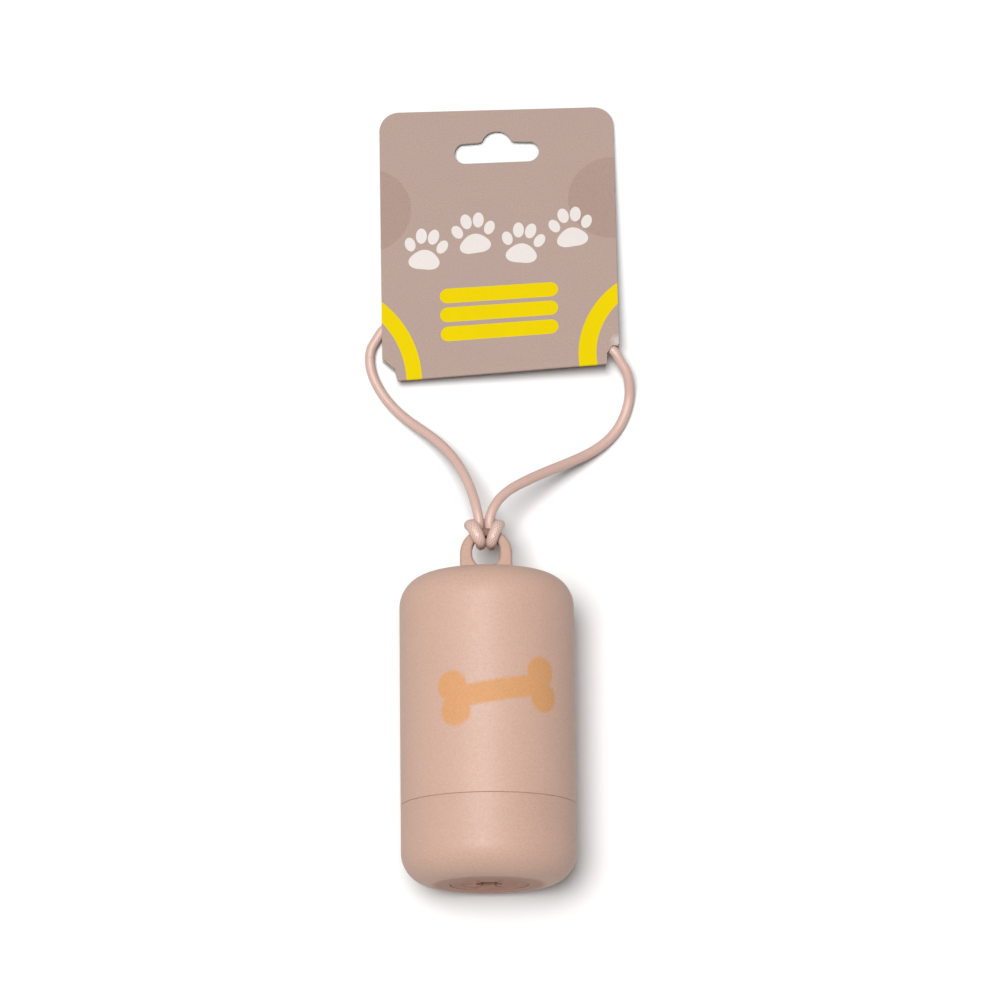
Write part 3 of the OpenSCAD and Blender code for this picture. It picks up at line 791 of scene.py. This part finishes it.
def cardboard(name, base):
    """Spiral-wound kraft paper: fibres, and the seam of the outer strip."""
    m = Mat(name)
    m.set("Specular IOR Level", 0.1)
    co = m.coords()
    x, y, z = m.split(co)
    turn = m.math("ARCTAN2", m.math("SUBTRACT", z, ROLL_Z * MM), x)
    wound = m.math("ADD", m.math("MULTIPLY", turn, 1 / (2 * math.pi)), m.math("MULTIPLY", y, 1 / 0.034))
    seam = m.math("LESS_THAN", m.math("FRACT", wound), 0.022)
    fibre = m.noise(m.mapping(co, scale=(1, 0.35, 1), rot=(0, 0, 0.5)), 2600, 4, 0.7)
    cloud = m.noise(co, 180, 3)
    c = m.mix(m.range(cloud, 0.3, 0.7, 0, 1), shade(base, 0.88), shade(base, 1.12))
    c = m.mix(m.range(fibre, 0.35, 0.65, 0, 0.5), c, shade(base, 1.3))
    c = m.mix(m.math("MULTIPLY", seam, 0.75), c, shade(base, 0.5))
    height = m.math("SUBTRACT", fibre, m.math("MULTIPLY", seam, 1.6))
    return m.finish(c, m.range(fibre, 0.3, 0.7, 0.8, 0.92), m.bump(height, 0.00006, 0.6))


def film(name, base):
    """Thin wound film: satin, creased across, with its layers showing as rings on the ends."""
    m = Mat(name)
    m.set("Specular IOR Level", 0.45)
    co = m.coords()
    x, y, z = m.split(co)
    layer = m.math("SINE", m.math("MULTIPLY", m.from_axis(x, z, ROLL_Z * MM), 2 * math.pi / 0.00034))
    crease = m.noise(m.mapping(co, scale=(1, 0.16, 1)), 420, 4, 0.6, 0.6)
    cloud = m.noise(co, 130, 3)
    c = m.mix(m.range(cloud, 0.3, 0.7, 0, 1), shade(base, 0.8), shade(base, 1.25))
    c = m.mix(m.range(layer, -1, 1, 0.35, 0), c, shade(base, 0.5))
    c = m.mix(m.range(crease, 0.52, 0.66, 0, 0.35), c, shade(base, 1.9))
    height = m.math("ADD", m.math("MULTIPLY", layer, 0.25), crease)
    return m.finish(c, m.range(crease, 0.3, 0.7, 0.3, 0.52), m.bump(height, 0.00012, 0.6))


def film_roll():
    """Film wound on the core: a spiral with a loose outer edge and uneven ends."""
    around, step = 239, 0.14
    front = [(k / 26, -1.0) for k in range(27)]
    side = [(1.0, -1 + 2 * k / 44) for k in range(1, 44)]
    back = [(1 - k / 26, 1.0) for k in range(27)]
    bore = [(0.0, 1 - 2 * k / 6) for k in range(1, 6)]
    profile = front + side + back + bore
    verts = []
    for j in range(around + 1):
        th = 2 * math.pi * j / (around + 1)
        share = th / (2 * math.pi)
        lift = 0.16 * float(smooth((share - 0.93) / 0.07))
        for f, e in profile:
            outer = ROLL_R - 0.2 - step + step * share + lift
            yy = ROLL_Y + e * ROLL_LEN / 2
            p = Vector((math.cos(th) * 2.2, e * 2.0, math.sin(th) * 2.2))
            crumple = noise.noise(p * 1.7) * 0.05 + noise.noise(Vector((p.x * 4, e * 1.2, p.z * 4))) * 0.035
            near_end = smooth((abs(e) - 0.955) / 0.045)
            r = CORE_R + f * (outer + crumple - 0.28 * float(near_end) - CORE_R)
            if abs(e) == 1.0 and 0.0 < f:
                coil = 6.5 * f - share
                ridge = 0.5 + 0.5 * math.sin(2 * math.pi * coil)
                uneven = noise.noise(Vector((f * 5.0, math.cos(th), math.sin(th) + 3 * e)))
                yy -= e * (0.05 + 0.16 * ridge + 0.08 * uneven) * min(1.0, f * 6)
            verts.append((math.cos(th) * r, yy, ROLL_Z + math.sin(th) * r))
    n, w = len(profile), around + 1
    faces = [(j * n + i, j * n + (i + 1) % n, (j + 1) % w * n + (i + 1) % n, (j + 1) % w * n + i)
             for j in range(w) for i in range(n)]
    me = mesh_from("film_roll", verts, faces)
    me.set_sharp_from_angle(angle=math.radians(38))
    return link_object("film_roll", me)


put("cord_ferrule", metal("crimp_metal", lin(200, 200, 204)))
put("roll_core", cardboard("core_paper", lin(158, 126, 92)))
roll = film_roll()
roll.data.materials.append(film("film_dark", lin(50, 50, 54)))
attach(roll, "roll")
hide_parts("bag_roll")


# ---------------------------------------------------------------- floor and light
floor_mesh = bpy.data.meshes.new("floor")
floor_mesh.from_pydata([(-3, -3, 0), (3, -3, 0), (3, 3, 0), (-3, 3, 0)], [], [(0, 1, 2, 3)])
floor = link_object("floor", floor_mesh)
fm = Mat("floor_paper")
fm.set("Specular IOR Level", 0.1)
fn = fm.noise(fm.coords(), 3, 2)
floor.data.materials.append(fm.finish(fm.mix(fn, (0.715, 0.715, 0.715, 1), (0.73, 0.73, 0.73, 1)),
                                      fm.range(fn, 0, 1, 0.9, 0.95)))


def sun(name, place, aim, angle, strength, colour=(1, 1, 1)):
    """A broad, even soft light from one side of the sky."""
    d = bpy.data.lights.new(name, "SUN")
    d.angle = math.radians(angle)
    d.energy = strength
    d.color = colour
    o = link_object(name, d)
    o.location = place
    o.rotation_mode = "QUATERNION"
    o.rotation_quaternion = (Vector(aim) - Vector(place)).to_track_quat("-Z", "Y")
    return o


sun("key", (-0.155, -0.015, 1.3), (0.01, 0.0, 0.0), 26.0, 4.05)
world = bpy.data.worlds.new("studio")
bpy.context.scene.world = world
world.use_nodes = True
world.node_tree.nodes["Background"].inputs[0].default_value = (1, 0.925, 0.87, 1)
world.node_tree.nodes["Background"].inputs[1].default_value = 0.15
bpy.context.scene.view_settings.view_transform = "Standard"
bpy.context.scene.view_settings.look = "None"
